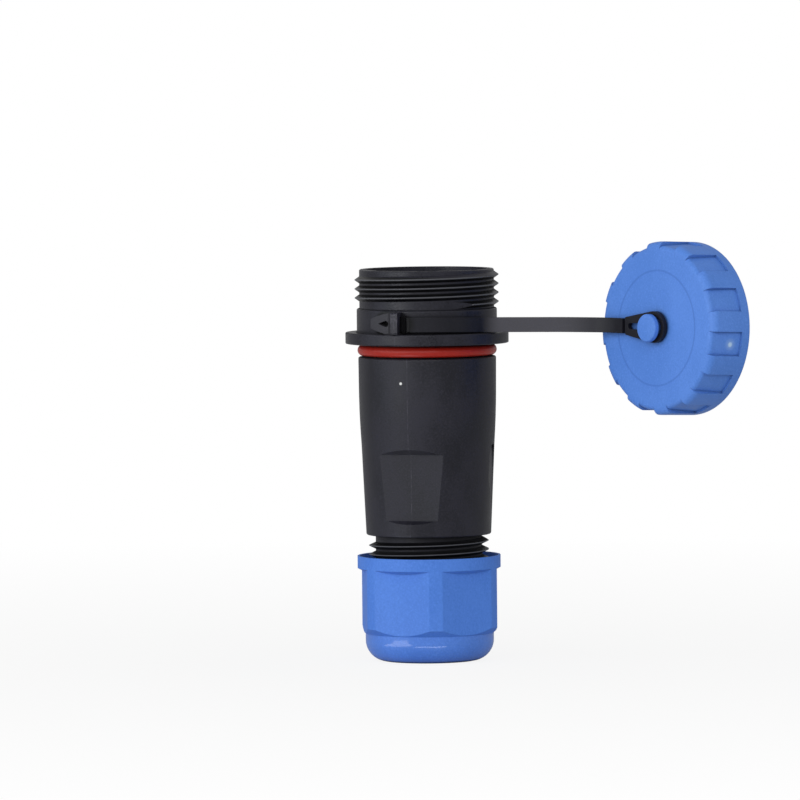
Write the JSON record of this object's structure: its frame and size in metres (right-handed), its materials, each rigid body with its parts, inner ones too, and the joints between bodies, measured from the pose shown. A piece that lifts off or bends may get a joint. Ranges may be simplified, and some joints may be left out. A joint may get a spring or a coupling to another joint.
{
  "type": "in-line circular connector receptacle",
  "caption": "In-line cable receptacle of a round multi-pole connector: threaded mating end, flange, tapered back shell, cable gland nut and a screw dust cap held by a strap.",
  "frame": {"origin": "on the connector's axis, in the plane of the gland nut's flat base, at the mouth of the cable hole", "axes": "+Z along the connector's axis towards the mating end; +X towards the side on which the dust cap hangs; -Y is the front of the picture"},
  "size_m": [0.0663, 0.0423, 0.0701],
  "materials": {
    "black_plastic": "satin moulded polyamide",
    "blue_plastic": "satin-gloss moulded polyamide",
    "insert_plastic": "fine matt moulding",
    "contact_brass": "gold plated, turned",
    "orange_silicone": "satin silicone",
    "seal_rubber": "matt rubber",
    "strap_plastic": "flexible satin plastic"
  },
  "bodies": {
    "receptacle": {"front_shell": "black_plastic", "contact_insert": "insert_plastic", "insert_retainer": "insert_plastic", "contact_1": "contact_brass", "contact_2": "contact_brass", "contact_3": "contact_brass", "contact_4": "contact_brass", "contact_5": "contact_brass", "contact_6": "contact_brass", "contact_7": "contact_brass"},
    "ring_carrier": {"flange_o_ring": "orange_silicone"},
    "back_shell": {"back_shell": "black_plastic"},
    "gland_stack": {"cable_seal": "seal_rubber", "slip_washer": "insert_plastic", "clamp_cage": "black_plastic"},
    "gland_nut": {"gland_nut": "blue_plastic"},
    "tether": {"cap_tether": "strap_plastic"},
    "dust_cap": {"dust_cap": "blue_plastic", "cap_gasket": "seal_rubber"}
  },
  "joints": [
    {"name": "back_shell_travel", "type": "slide", "parent": "receptacle", "child": "ring_carrier", "axis": [0, 0, 1], "range_m": [-0.00675, 0]},
    {"name": "back_shell_turn", "type": "hinge", "parent": "ring_carrier", "child": "back_shell", "pos_m": [0, 0, 0.036], "axis": [0, 0, 1], "range_deg": [-1621, 0]},
    {"name": "gland_travel", "type": "slide", "parent": "back_shell", "child": "gland_stack", "axis": [0, 0, 1], "range_m": [-0.0075, 0.003]},
    {"name": "gland_nut_turn", "type": "hinge", "parent": "gland_stack", "child": "gland_nut", "pos_m": [0, 0, 0.0088], "axis": [0, 0, 1], "range_deg": [-1801, 721]},
    {"name": "tether_bend", "type": "hinge", "parent": "receptacle", "child": "tether", "pos_m": [0.0135, -0.008, 0.0565], "axis": [0, 0, 1], "range_deg": [-45, 45], "stiffness_Nm_per_rad": 0.002, "deforming": ["cap_tether"]},
    {"name": "dust_cap_spin", "type": "hinge", "parent": "tether", "child": "dust_cap", "pos_m": [0.03713, -0.01869, 0.05593], "axis": [-0.7698, -0.6368, 0.0436], "continuous": true}
  ],
  "couplings": [
    {"joint": "back_shell_turn", "follows": "back_shell_travel", "rad_per_m": 4188.8},
    {"joint": "gland_nut_turn", "follows": "gland_travel", "rad_per_m": 4188.8}
  ]
}
